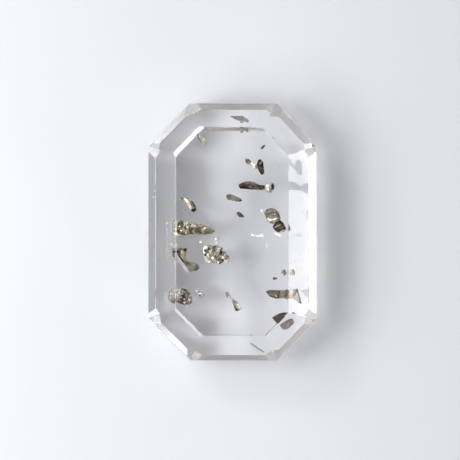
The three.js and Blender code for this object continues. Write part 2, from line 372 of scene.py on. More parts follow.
@dataclass(frozen=True)
class PyriteFinish:
    """Pyrite, an iron sulphide grown with bright faces: brassy metal, dulled brown where it tarnished."""

    fresh: str
    tarnished: str
    roughness: tuple[float, float]  # where it is brightest and where it is dullest
    cloud: float = 0.35  # size of a tarnished patch, in mm
    tarnishing: tuple[float, float] = (0.38, 0.62)  # of the clouds' noise, from fresh to tarnished
    dulling: tuple[float, float] = (0.3, 0.7)  # of the same noise, from brightest to dullest
    grain: float = 0.06  # size of a pit in the face, in mm; finer than this doesn't show
    pit_depth: float = 0.006

    def build(self, name: str) -> bpy.types.Material:
        """Makes the material.

        Args:
            name: The material's name.

        Returns:
            The material.
        """
        material, tree, shader = new_material(name)
        place = add_node(tree, "ShaderNodeTexCoord").outputs["Object"]
        clouds = add_node(
            tree,
            "ShaderNodeTexNoise",
            inputs={"Vector": place, "Scale": per_metre(self.cloud), "Detail": 3.0, "Roughness": 0.6},
        )
        fresh_at, tarnished_at = self.tarnishing
        tarnish = add_node(
            tree,
            "ShaderNodeMapRange",
            inputs={"Value": clouds.outputs["Fac"], "From Min": fresh_at, "From Max": tarnished_at},
        )
        colour = add_node(
            tree,
            "ShaderNodeMix",
            {"data_type": "RGBA"},
            {"Factor": tarnish.outputs["Result"], 6: linear(self.fresh), 7: linear(self.tarnished)},
        )
        brightest_at, dullest_at = self.dulling
        brightest, dullest = self.roughness
        roughness = add_node(
            tree,
            "ShaderNodeMapRange",
            inputs={
                "Value": clouds.outputs["Fac"],
                "From Min": brightest_at,
                "From Max": dullest_at,
                "To Min": brightest,
                "To Max": dullest,
            },
        )
        pits = add_node(
            tree,
            "ShaderNodeTexNoise",
            inputs={"Vector": place, "Scale": per_metre(self.grain), "Detail": 2.0},
        )
        bump = add_node(
            tree,
            "ShaderNodeBump",
            inputs={"Height": pits.outputs["Fac"], "Strength": 0.5, "Distance": self.pit_depth * MM},
        )
        tree.links.new(colour.outputs[2], shader.inputs["Base Color"])
        tree.links.new(roughness.outputs["Result"], shader.inputs["Roughness"])
        tree.links.new(bump.outputs["Normal"], shader.inputs["Normal"])
        shader.inputs["Metallic"].default_value = 1.0
        return material


FINISHES = {
    # partly painted highlight: near white, paler than fresh pyrite, for faces that glint towards the window
    Tone.SILVER: PyriteFinish("#f8f3e8", "#c6c0b2", (0.28, 0.45)),
    Tone.GOLD: PyriteFinish("#e8dec4", "#a09376", (0.28, 0.45)),
    Tone.OLIVE: PyriteFinish("#b8b19c", "#7d7566", (0.25, 0.45)),
    Tone.GREY: PyriteFinish("#b7b2aa", "#98928b", (0.35, 0.45)),
    Tone.BROWN: PyriteFinish("#8a7b72", "#5a4c46", (0.2, 0.4)),
    # partly painted reflection: with dark tarnish, it puts into the colour the dark of the camera overhead
    # that level faces mirror
    Tone.DARK: PyriteFinish("#594b43", "#2e2420", (0.15, 0.3)),
}


@dataclass(frozen=True)
class Relief:
    """The lie of the small faces on top of a mass."""

    cell: float  # size of a face, in mm
    lean: float  # most that a face tips, in degrees
    step: float = 0.0  # most that one face stands over the next, in mm
    ridge_pitch: float = 0.0  # from one growth ridge to the next, in mm, or 0 for none
    ridge_rise: float = 0.0  # from the foot of a ridge to its top, in mm


class Habit(Enum):
    """How a mass of pyrite grew."""

    PLATE = Relief(cell=0.6, lean=5, step=0.01)
    STRIATED = Relief(cell=0.45, lean=10, step=0.02, ridge_pitch=0.15, ridge_rise=0.035)
    GRANULAR = Relief(cell=0.27, lean=24, step=0.05)


@dataclass(frozen=True)
class Mass:
    """One mass of a crystal. Its outline is in the crystal's own axes, anticlockwise round its middle."""

    depth: float  # from its underside to its top
    outline: tuple[tuple[float, float], ...]
    habit: Habit = Habit.PLATE
    tone: Tone = Tone.OLIVE
    lines: float = 0.0  # the way that growth ridges run, in degrees in the crystal's own axes


@dataclass(frozen=True)
class Face:
    """A larger face or patch on a crystal, in the crystal's own axes.

    Where it has a lean, it is flat and tips that many degrees towards a bearing in the stone's axes.
    Without one it is a patch of another tone on the small faces. A level face in the DARK tone is partly
    painted reflection of the dark camera overhead. A face leaning towards the window in the SILVER tone is
    partly painted highlight, on top of the glint that its lean catches.
    """

    at: tuple[float, float]
    reach: tuple[float, float]  # from its middle, along the crystal and across it
    tone: Tone
    bearing: float = 0.0
    lean: float | None = None
    corner: float = 1.5  # what the shares of both reaches add up to where a corner is cut

    def holds(self, x: float, y: float) -> bool:
        """Tells whether a point lies in the face, which is a box with cut corners seen from above."""
        along, across = abs(x - self.at[0]) / self.reach[0], abs(y - self.at[1]) / self.reach[1]
        return max(along, across, (along + across) / self.corner) <= 1


@dataclass(frozen=True)
class Crust:
    """Small cubes that stand out all over a crystal."""

    count: int
    edge: tuple[float, float]  # of the smallest cube and of the largest
    tones: tuple[Tone, ...]
    lean: float = 28.0  # most that a cube tips, in degrees


@dataclass
class PyriteCrystal:
    """One pyrite crystal: its masses with their faces, the small cubes on it and the crumbs beside it."""

    name: str
    at: tuple[float, float]  # origin of its own axes, seen from above
    turn: float  # of its own axes, in degrees
    underside: float  # height over the stone's base
    masses: tuple[Mass, ...]
    faces: tuple[Face, ...] = ()
    crust: Crust | None = None
    crumbs: tuple[tuple[float, float, float], ...] = ()  # x, y and edge of each
    crumb_lean: float = 40.0  # most that a crumb tips, in degrees
    crumb_tones: tuple[Tone, ...] = (Tone.SILVER, Tone.OLIVE, Tone.BROWN)  # of its faces, at random
    edge_wear: float = 0.03  # how far a mass's dulled edges reach on each face
    cube_wear: float = 0.1  # the same for a small cube, as a share of its edge
    cube_faces: int = 26  # of a cube with dulled edges: 6 sides, 12 edges and 8 corners
    grid: float = 0.05  # largest distance between the points that the relief moves
    wander: float = 0.05  # how far the edge of a larger face strays
    wave: float = 0.15  # size of a bend in that edge
    scatter: float = 7.3  # how far apart in the noise two neighbouring small faces take their lean
    kinship: float = 0.5  # how far a small cube takes after the larger face that it grew on
    seed: int = 0

    def face_at(self, x: float, y: float) -> Face | None:
        """Finds the larger face at a point of the crystal's own axes, or None."""
        stray = self.wander * noise.noise_vector(Vector((x, y, self.seed)) / self.wave)
        return next((face for face in self.faces if face.holds(x + stray.x, y + stray.y)), None)

    def relief_at(self, x: float, y: float, mass: Mass) -> float:
        """Works out how far a point on top of a mass stands over its flat top.

        Args:
            x: The point's place along the crystal.
            y: The point's place across it.
            mass: The mass that the point is on.

        Returns:
            The rise in mm, below zero for a dip.
        """
        face = self.face_at(x, y)
        if face and face.lean is not None:
            bearing = math.radians(face.bearing - self.turn)
            slope = -math.tan(math.radians(face.lean))
            return slope * ((x - face.at[0]) * math.cos(bearing) + (y - face.at[1]) * math.sin(bearing))
        relief = mass.habit.value
        column, row = x / relief.cell, y / relief.cell
        _, centres = noise.voronoi(Vector((column, row, self.seed)))
        middle = centres[0]
        tip = noise.noise_vector(middle * self.scatter + Vector((self.seed, 0, 0)))
        slope = 2 * math.tan(math.radians(relief.lean))
        rise = slope * relief.cell * (tip.x * (column - middle.x) + tip.y * (row - middle.y))
        rise += 2 * relief.step * tip.z
        if relief.ridge_pitch:
            across = math.radians(mass.lines + 90)
            phase = (x * math.cos(across) + y * math.sin(across)) / relief.ridge_pitch
            rise += relief.ridge_rise * (abs(2 * (phase % 1) - 1) - 0.5)
        return rise

    def grow(self, mass: Mass) -> bmesh.types.BMesh:
        """Grows one mass from its outline.

        Args:
            mass: The mass to grow.

        Returns:
            Its mesh, closed, in the crystal's own axes with its underside at zero.
        """
        bm = bmesh.new()
        corners = [bm.verts.new((x, y, 0)) for x, y in mass.outline]
        underside = bm.faces.new(corners)
        grown = bmesh.ops.extrude_face_region(bm, geom=[underside])["geom"]
        top = [piece for piece in grown if isinstance(piece, bmesh.types.BMVert)]
        bmesh.ops.translate(bm, verts=top, vec=UP * mass.depth)
        bmesh.ops.recalc_face_normals(bm, faces=bm.faces)
        dull_edges(bm, bm.edges[:], self.edge_wear, segments=2, clamp=True)
        bmesh.ops.triangulate(bm, faces=bm.faces[:], quad_method="FIXED", ngon_method="EAR_CLIP")
        cut_grid(bm, self.grid)
        for vert in bm.verts:
            # the relief is whole at the top and fades out half way down
            share = max(0.0, 2 * vert.co.z / mass.depth - 1)
            vert.co.z += share * self.relief_at(vert.co.x, vert.co.y, mass)
        return bm

    def tone_index(self, x: float, y: float, tone: Tone) -> int:
        """Gives the index of the tone at a point, which is the larger face's there or else the mass's."""
        face = self.face_at(x, y)
        return (face.tone if face else tone).value

    def add_cube(
        self, bm: bmesh.types.BMesh, at: Vector, edge: float, lean: float, rng: random.Random
    ) -> list[bmesh.types.BMFace]:
        """Adds one small cube with dulled edges, turned at random.

        Args:
            bm: The mesh to add to.
            at: The cube's middle.
            edge: Its edge in mm.
            lean: The most that it tips, in degrees. On a larger face it tips less, from that face's lie.
            rng: The random numbers to use.

        Returns:
            The cube's faces.
        """
        tip = math.radians(lean)
        face = self.face_at(at.x, at.y)
        lie = Matrix.Identity(4)
        if face and face.lean is not None:
            tip *= 1 - self.kinship
            lie = tipped(face.bearing - self.turn, face.lean)
        turn = Euler((rng.uniform(-tip, tip), rng.uniform(-tip, tip), rng.uniform(0, math.tau)))
        place = Matrix.Translation(at) @ lie @ turn.to_matrix().to_4x4() @ Matrix.Scale(edge, 4)
        corners = bmesh.ops.create_cube(bm, size=1, matrix=place)["verts"]
        sides = list(dict.fromkeys(side for corner in corners for side in corner.link_edges))
        dull_edges(bm, sides, self.cube_wear * edge)
        bm.faces.ensure_lookup_table()
        return bm.faces[-self.cube_faces :]

    def add_crust(self, bm: bmesh.types.BMesh, rng: random.Random) -> None:
        """Covers the crystal with small cubes, sunk in its top.

        Args:
            bm: The crystal's mesh.
            rng: The random numbers to use.
        """
        body = BVHTree.FromBMesh(bm)
        xs = [vert.co.x for vert in bm.verts]
        ys = [vert.co.y for vert in bm.verts]
        sky = 2 * max(mass.depth for mass in self.masses)  # a height well over the crystal
        placed = 0
        while placed < self.crust.count:
            x, y = rng.uniform(min(xs), max(xs)), rng.uniform(min(ys), max(ys))
            hit = body.ray_cast(Vector((x, y, sky)), -UP)[0]
            if hit is None:
                continue
            edge = rng.uniform(*self.crust.edge)
            cube = self.add_cube(bm, hit, edge, self.crust.lean, rng)
            tone = rng.choice(self.crust.tones)
            index = self.tone_index(x, y, tone) if rng.random() < self.kinship else tone.value
            for face in cube:
                face.material_index = index
            placed += 1

    def build(self, materials: list[bpy.types.Material]) -> bpy.types.Object:
        """Builds the crystal in its place in the stone.

        Args:
            materials: The pyrite's materials, in the order of the tones.

        Returns:
            The crystal, which stands for its solid.
        """
        rng = random.Random(self.seed)
        bm = bmesh.new()
        for mass in self.masses:
            grown = self.grow(mass)
            for face in grown.faces:
                middle = face.calc_center_median()
                face.material_index = self.tone_index(middle.x, middle.y, mass.tone)
            part = bpy.data.meshes.new("grown")
            grown.to_mesh(part)
            grown.free()
            bm.from_mesh(part)
            bpy.data.meshes.remove(part)
        if self.crust:
            self.add_crust(bm, rng)
        for x, y, edge in self.crumbs:
            middle = Vector((x, y, self.masses[0].depth / 2))
            for face in self.add_cube(bm, middle, edge, self.crumb_lean, rng):
                face.material_index = rng.choice(self.crumb_tones).value
        turn = Matrix.Rotation(math.radians(self.turn), 4, "Z")
        place = Matrix.Translation((*self.at, self.underside)) @ turn
        bmesh.ops.transform(bm, matrix=place, verts=bm.verts)
        crystal = finish_mesh(bm, f"{self.name}_crystal", materials)
        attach(crystal, BODY)
        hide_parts(self.name)
        return crystal


# Faces and masses in the DARK tone, mostly level, are partly painted reflection of the dark camera
# overhead. Those in the SILVER tone, mostly leaning towards the window, are partly painted highlight.
CRYSTALS = (
    PyriteCrystal(
        "pyrite_plate_north", at=(0.52, 7.43), turn=-32, underside=3.22,
        masses=(
            Mass(0.26, (
                (-0.18, -0.21), (0.14, -0.12), (0.19, -0.31), (0.36, -0.28), (0.42, 0.02), (0.64, -0.03),
                (0.7, 0.11), (0.48, 0.28), (0.24, 0.29), (0.02, 0.38), (-0.74, -0.1),
            ), Habit.PLATE, Tone.GREY),
        ),
        faces=(
            Face((0.0, 0.0), (0.9, 0.5), Tone.GREY, 0, 0),
        ),
        seed=1,
    ),
    PyriteCrystal(
        "pyrite_wedge_north_west", at=(-2.21, 6.69), turn=-65, underside=4.6,
        masses=(
            Mass(0.35, (
                (0.55, -0.1), (0.5, 0.1), (0.24, 0.24), (-0.02, 0.21), (-0.29, -0.06), (-0.37, -0.2),
                (0.09, -0.22),
            ), Habit.STRIATED, Tone.OLIVE),
        ),
        faces=(
            Face((0.0, -0.2), (0.5, 0.06), Tone.BROWN),
            Face((0.1, 0.0), (0.6, 0.4), Tone.OLIVE, 180, 6),
        ),
        seed=2,
    ),
    PyriteCrystal(
        "pyrite_fleck_north", at=(2.18, 6.05), turn=51, underside=3.2,
        masses=(
            Mass(0.2, (
                (-0.19, -0.06), (0.17, -0.09), (0.19, 0.02), (0.01, 0.1), (-0.2, 0.07),
            ), tone=Tone.BROWN),
        ),
        seed=3,
    ),
    PyriteCrystal(
        "pyrite_fan_north_east", at=(1.72, 4.85), turn=-38, underside=3.2,
        masses=(
            Mass(0.34, (
                (-0.63, -0.43), (-0.3, -0.38), (0.14, -0.36), (0.25, -0.22), (0.04, -0.07), (-0.34, -0.1),
                (-0.71, -0.09), (-0.84, -0.26),
            ), Habit.GRANULAR, Tone.GOLD),
            Mass(0.5, (
                (0.05, -0.06), (0.35, -0.28), (0.71, -0.42), (0.85, -0.34), (0.79, -0.12), (0.58, 0.08),
                (0.28, 0.39), (0.02, 0.43), (-0.09, 0.28),
            ), Habit.STRIATED, Tone.DARK, lines=-35),
        ),
        faces=(
            Face((-0.3, -0.12), (0.07, 0.06), Tone.SILVER, 190, 15),
            Face((0.06, -0.28), (0.07, 0.08), Tone.SILVER, 190, 14),
            Face((-0.15, -0.22), (0.2, 0.16), Tone.SILVER, 185, 8),
            Face((-0.62, -0.27), (0.24, 0.2), Tone.BROWN),
            Face((0.18, 0.2), (0.07, 0.2), Tone.OLIVE),
            Face((0.5, -0.04), (0.14, 0.05), Tone.BROWN),
        ),
        seed=4,
    ),
    PyriteCrystal(
        "pyrite_bar_north_east", at=(1.68, 3.22), turn=-5, underside=3.3,
        masses=(
            Mass(0.45, (
                (-1.13, -0.25), (-0.27, -0.23), (0.52, -0.19), (0.82, -0.02), (0.7, 0.13), (0.2, 0.14),
                (-0.17, 0.32), (-0.61, 0.34), (-1.02, 0.2), (-1.28, 0.0),
            ), Habit.STRIATED, Tone.BROWN),
            Mass(0.6, (
                (0.66, -0.22), (1.02, -0.38), (1.25, -0.25), (1.3, 0.09), (1.15, 0.38), (0.9, 0.34),
                (0.62, 0.16),
            ), Habit.GRANULAR, Tone.SILVER),
        ),
        faces=(
            Face((-0.7, -0.14), (0.5, 0.1), Tone.DARK),
            Face((-0.5, 0.24), (0.6, 0.09), Tone.OLIVE, 90, 14),
            Face((0.3, -0.04), (0.3, 0.2), Tone.BROWN),
            Face((1.2, 0.1), (0.1, 0.26), Tone.DARK, 0, 6),
            Face((0.8, 0.12), (0.08, 0.1), Tone.SILVER, 185, 13),
            Face((0.84, -0.14), (0.1, 0.1), Tone.SILVER, 180, 10),
            Face((1.08, -0.2), (0.1, 0.2), Tone.GREY),
        ),
        seed=5,
    ),
    PyriteCrystal(
        "pyrite_bar_centre_north", at=(0.12, 2.41), turn=-12, underside=3.0,
        masses=(
            Mass(0.35, (
                (-0.46, -0.21), (-0.04, -0.21), (0.47, -0.19), (0.61, -0.06), (0.41, 0.08), (-0.05, 0.18),
                (-0.42, 0.22), (-0.61, 0.06),
            ), Habit.PLATE, Tone.OLIVE),
        ),
        faces=(
            Face((0.52, -0.08), (0.12, 0.16), Tone.BROWN),
        ),
        seed=6,
    ),
    PyriteCrystal(
        "pyrite_fleck_centre", at=(0.55, 1.2), turn=-37, underside=2.6,
        masses=(
            Mass(0.22, (
                (-0.08, -0.15), (0.09, -0.15), (0.33, 0.05), (0.13, 0.15), (-0.22, 0.15), (-0.33, -0.04),
            ), tone=Tone.BROWN),
        ),
        seed=7,
    ),
    PyriteCrystal(
        "pyrite_pair_east", at=(3.02, 0.79), turn=-65, underside=4.55,
        masses=(
            Mass(0.5, (
                (-0.17, -0.5), (0.13, -0.28), (0.17, 0.33), (-0.01, 0.45), (-0.38, 0.49), (-0.71, 0.39),
                (-0.97, 0.07), (-0.99, -0.23), (-0.83, -0.47),
            ), Habit.STRIATED, Tone.OLIVE, lines=78),
            Mass(0.62, (
                (0.67, -0.3), (0.94, -0.06), (0.97, 0.29), (0.92, 0.48), (0.37, 0.47), (0.11, 0.36),
                (0.09, -0.03), (0.33, -0.35),
            ), Habit.STRIATED, Tone.DARK, lines=30),
        ),
        faces=(
            Face((-0.34, -0.36), (0.11, 0.07), Tone.SILVER, 190, 14),
            Face((-0.12, 0.02), (0.06, 0.17), Tone.SILVER, 195, 14),
            Face((-0.2, -0.3), (0.1, 0.14), Tone.GOLD, 180, 6),
            Face((-0.55, 0.42), (0.4, 0.08), Tone.BROWN),
            Face((-0.62, -0.02), (0.03, 0.3), Tone.BROWN),
            Face((-0.36, 0.14), (0.03, 0.24), Tone.BROWN),
            Face((-0.8, -0.1), (0.1, 0.2), Tone.GREY),
            Face((0.42, 0.04), (0.06, 0.26), Tone.OLIVE, 180, 6),
            Face((0.62, 0.16), (0.07, 0.2), Tone.BROWN),
            Face((0.9, 0.2), (0.06, 0.3), Tone.GREY, 180, 10),
        ),
        seed=8,
    ),
    PyriteCrystal(
        "pyrite_crescent_west", at=(-3.08, 2.05), turn=-48, underside=4.8,
        masses=(
            Mass(0.45, (
                (-0.52, -0.24), (-0.28, -0.15), (0.16, -0.22), (0.55, -0.28), (0.72, -0.17), (0.72, 0.02),
                (0.5, 0.2), (0.1, 0.27), (-0.33, 0.17), (-0.56, -0.04), (-0.68, -0.23),
            ), Habit.STRIATED, Tone.GOLD),
        ),
        faces=(
            Face((-0.22, -0.04), (0.24, 0.05), Tone.SILVER, 190, 14),
            Face((-0.1, -0.02), (0.4, 0.12), Tone.GOLD, 185, 8),
            Face((0.16, -0.16), (0.24, 0.04), Tone.SILVER, 195, 14),
            Face((-0.61, -0.2), (0.1, 0.1), Tone.BROWN),
            Face((0.62, -0.1), (0.12, 0.16), Tone.DARK, 0, 0),
            Face((0.3, 0.16), (0.3, 0.1), Tone.BROWN),
        ),
        seed=9,
    ),
    PyriteCrystal(
        "pyrite_bar_west", at=(-2.6, 0.31), turn=2, underside=4.5,
        masses=(
            Mass(0.5, (
                (-1.39, -0.49), (-1.17, -0.54), (-0.7, -0.51), (-0.27, -0.46), (0.19, -0.49), (0.73, -0.52),
                (1.16, -0.49), (1.33, -0.34), (1.24, -0.17), (0.96, 0), (0.57, 0.13), (0.07, 0.26),
                (-0.42, 0.4), (-0.85, 0.48), (-1.09, 0.58), (-1.27, 0.53), (-1.39, 0.35),
            ), Habit.GRANULAR, Tone.GOLD),
        ),
        faces=(
            Face((-1.36, 0.0), (0.06, 0.7), Tone.GREY, 180, 20),
            Face((-1.07, 0.3), (0.2, 0.16), Tone.BROWN, 0, 0),
            Face((-0.63, 0.24), (0.05, 0.2), Tone.SILVER, 190, 14),
            Face((-0.08, 0.06), (0.06, 0.2), Tone.SILVER, 195, 15),
            Face((0.54, -0.16), (0.06, 0.1), Tone.SILVER, 190, 14),
            Face((-1.16, -0.28), (0.2, 0.14), Tone.BROWN),
            Face((-0.38, -0.08), (0.14, 0.12), Tone.BROWN),
            Face((0.24, -0.1), (0.12, 0.12), Tone.BROWN),
            Face((0.2, -0.42), (1.2, 0.08), Tone.OLIVE, 270, 8),
        ),
        crust=Crust(
            110, (0.07, 0.16),
            (Tone.OLIVE, Tone.GOLD, Tone.BROWN, Tone.OLIVE, Tone.GOLD, Tone.SILVER), 20,
        ),
        seed=10,
    ),
    PyriteCrystal(
        "pyrite_wedge_west", at=(-3.28, -1.92), turn=-51, underside=4.2,
        masses=(
            Mass(0.4, (
                (-0.81, -0.26), (-0.4, -0.33), (0.05, -0.35), (0.51, -0.34), (0.91, -0.38), (1.11, 0),
                (1.12, 0.28), (0.88, 0.41), (0.6, 0.29), (0.25, -0.02), (-0.01, -0.04), (-0.28, 0.19),
                (-0.54, 0.53), (-0.99, -0.04), (-0.99, -0.19),
            ), Habit.PLATE, Tone.OLIVE),
        ),
        faces=(
            Face((-0.97, -0.12), (0.05, 0.14), Tone.GREY, 180, 20),
            Face((-0.76, -0.14), (0.12, 0.1), Tone.DARK),
            Face((-0.56, 0.34), (0.1, 0.12), Tone.DARK),
            Face((-0.26, -0.27), (0.4, 0.06), Tone.DARK),
            Face((0.26, -0.14), (0.1, 0.12), Tone.BROWN),
            Face((-0.56, 0.06), (0.1, 0.08), Tone.GOLD, 190, 8),
            Face((0.82, 0.1), (0.07, 0.3), Tone.GREY, 0, 8),
            Face((1.02, 0.1), (0.08, 0.2), Tone.BROWN),
        ),
        seed=11,
    ),
    PyriteCrystal(
        "pyrite_cluster_centre", at=(-1.12, -1.56), turn=5, underside=4.3,
        masses=(
            Mass(0.6, (
                (-0.83, -0.1), (-0.64, -0.61), (0.1, -0.65), (0.56, -0.62), (0.83, -0.53), (0.84, -0.24),
                (0.62, -0.12), (0.54, 0.31), (0.21, 0.56), (-0.43, 0.66), (-0.83, 0.55),
            ), Habit.GRANULAR, Tone.SILVER),
        ),
        faces=(
            Face((-0.33, -0.25), (0.09, 0.08), Tone.DARK, 0, 0),
            Face((-0.62, 0.2), (0.07, 0.08), Tone.DARK, 0, 0),
            Face((0.28, 0.16), (0.06, 0.12), Tone.DARK, 0, 0),
            Face((0.7, -0.42), (0.12, 0.12), Tone.DARK),
            Face((-0.1, -0.62), (0.5, 0.04), Tone.BROWN),
        ),
        crust=Crust(
            130, (0.1, 0.2),
            (Tone.SILVER, Tone.GOLD, Tone.OLIVE, Tone.SILVER, Tone.GOLD, Tone.BROWN), 18,
        ),
        seed=12,
    ),
    PyriteCrystal(
        "pyrite_cluster_south_west", at=(-3.62, -4.6), turn=-15, underside=4.0,
        masses=(
            Mass(0.66, (
                (-0.42, -0.43), (-0.1, -0.51), (0.3, -0.53), (0.66, -0.47), (0.82, -0.24), (0.75, 0.11),
                (0.5, 0.42), (0.15, 0.59), (-0.1, 0.58), (-0.41, 0.48), (-0.6, 0.23), (-0.59, -0.18),
            ), Habit.GRANULAR, Tone.BROWN),
        ),
        faces=(
            Face((-0.37, 0.11), (0.07, 0.1), Tone.SILVER, 180, 20),
            Face((-0.52, 0.04), (0.06, 0.08), Tone.SILVER, 180, 20),
            Face((0.02, -0.02), (0.14, 0.15), Tone.DARK),
            Face((-0.36, 0.0), (0.24, 0.6), Tone.GREY, 180, 18),
            Face((0.58, -0.1), (0.09, 0.14), Tone.SILVER, 195, 14),
            Face((0.29, -0.39), (0.08, 0.06), Tone.SILVER, 190, 14),
            Face((-0.05, -0.4), (0.2, 0.1), Tone.BROWN),
            Face((0.36, 0.2), (0.16, 0.14), Tone.GOLD),
        ),
        crust=Crust(110, (0.06, 0.14), (Tone.GOLD, Tone.SILVER, Tone.GREY, Tone.BROWN, Tone.GREY)),
        crumbs=((1.21, 0.42, 0.12), (1.36, 0.3, 0.08), (1.1, 0.62, 0.1), (1.5, 0.5, 0.07)),
        seed=13,
    ),
    PyriteCrystal(
        "pyrite_sliver_south", at=(0.02, -5.0), turn=-48, underside=3.0,
        masses=(
            Mass(0.35, (
                (-0.65, -0.06), (-0.44, -0.08), (-0.13, 0.01), (0.21, -0.11), (0.61, -0.29), (0.77, -0.06),
                (0.76, 0.22), (0.17, 0.25), (-0.19, 0.15), (-0.51, 0.19), (-0.79, 0.23), (-0.87, 0.06),
            ), Habit.STRIATED, Tone.GREY),
        ),
        faces=(
            Face((0.4, -0.14), (0.3, 0.05), Tone.DARK, 0, 0),
            Face((0.66, -0.2), (0.1, 0.09), Tone.DARK, 0, 0),
            Face((-0.29, 0.05), (0.2, 0.14), Tone.SILVER),
            Face((0.5, 0.12), (0.24, 0.12), Tone.SILVER),
        ),
        seed=14,
    ),
    PyriteCrystal(
        "pyrite_bar_south_east", at=(3.5, -4.38), turn=-15, underside=3.2,
        masses=(
            Mass(0.5, (
                (-0.81, -0.43), (-0.28, -0.48), (0.19, -0.29), (0.57, -0.35), (1.12, -0.47), (0.8, 0.03),
                (0.46, 0.47), (0.11, 0.26), (-0.23, 0.16), (-0.86, 0.03), (-1.13, -0.17),
            ), Habit.STRIATED, Tone.BROWN),
        ),
        faces=(
            Face((-1.0, -0.14), (0.14, 0.12), Tone.BROWN),
            Face((-0.34, -0.3), (0.1, 0.07), Tone.SILVER, 195, 14),
            Face((-0.6, -0.16), (0.34, 0.2), Tone.OLIVE),
            Face((1.12, -0.34), (0.07, 0.3), Tone.DARK, 0, 15),
            Face((0.4, 0.2), (0.17, 0.3), Tone.BROWN, 0, 0),
            Face((0.98, -0.1), (0.5, 0.6), Tone.GREY, 0, 0),
            Face((0.3, -0.1), (0.42, 0.6), Tone.OLIVE, 0, 0),
        ),
        seed=15,
    ),
    PyriteCrystal(
        "pyrite_fleck_east", at=(3.64, -2.89), turn=5, underside=3.3,
        masses=(
            Mass(0.3, (
                (-0.15, -0.21), (0.16, -0.21), (0.22, -0.04), (0.1, 0.21), (-0.09, 0.17), (-0.23, -0.09),
            ), tone=Tone.BROWN),
        ),
        faces=(
            Face((-0.12, -0.14), (0.07, 0.06), Tone.SILVER, 190, 14),
            Face((0.0, 0.0), (0.3, 0.3), Tone.OLIVE, 0, 0),
        ),
        seed=16,
    ),
    PyriteCrystal(
        "pyrite_fleck_east_small", at=(3.02, -3.31), turn=15, underside=3.1,
        masses=(
            Mass(0.18, (
                (-0.12, -0.1), (0.15, -0.1), (0.17, 0.01), (-0.03, 0.1), (-0.17, 0.03),
            ), tone=Tone.BROWN),
        ),
        seed=17,
    ),
    PyriteCrystal(
        "pyrite_plate_south_east", at=(3.46, -6.16), turn=30, underside=3.2,
        masses=(
            Mass(0.26, (
                (-0.45, -0.18), (-0.09, -0.37), (0.49, -0.25), (0.55, 0.04), (0.47, 0.24), (0.05, 0.37),
                (-0.54, 0.37),
            ), Habit.PLATE, Tone.BROWN),
        ),
        faces=(
            Face((0.0, 0.0), (0.8, 0.5), Tone.BROWN, 0, 0),
        ),
        seed=18,
    ),
    PyriteCrystal(
        "pyrite_needle_south", at=(1.76, -7.77), turn=-45, underside=3.25, edge_wear=0.02,
        masses=(
            Mass(0.12, (
                (0.0, -0.08), (0.66, -0.03), (0.66, 0.07), (0.01, 0.07), (-0.59, 0.06), (-0.66, -0.03),
            ), tone=Tone.GREY),
        ),
        seed=19,
    ),
)


# ---------------------------------------------------------------- flaws in the quartz


@dataclass(frozen=True)
class HealedCrack:
    """A crack in quartz that healed round films of gas and water: a white flake that glints."""

    name: str = "quartz, healed crack"
    colour: str = "#ffffff"
    roughness: float = 0.3
    sheen: float = 0.8  # share of it that a gas film makes a mirror
    cover: float = 0.8  # its opacity

    def build(self) -> bpy.types.Material:
        """Makes the material.

        Returns:
            The material.
        """
        material, _, shader = new_material(self.name)
        shader.inputs["Base Color"].default_value = linear(self.colour)
        shader.inputs["Roughness"].default_value = self.roughness
        shader.inputs["Metallic"].default_value = self.sheen
        shader.inputs["Alpha"].default_value = self.cover
        return material


@dataclass(frozen=True)
class Flake:
    """One healed crack that catches the light, from end to end, seen from above.

    It tips by its lean, in degrees, towards its bearing.
    """

    start: tuple[float, float]
    end: tuple[float, float]
    height: float
    width: float = 0.12
    bearing: float = 185.0
    lean: float = 13.0


@dataclass(frozen=True)
class Veil:
    """A drift of pinpoint bubbles, thickest in its middle, none of them past its reach."""

    at: tuple[float, float, float]
    reach: tuple[float, float, float]  # from its middle, each way
    count: int
    turn: float = 0.0  # degrees from +X


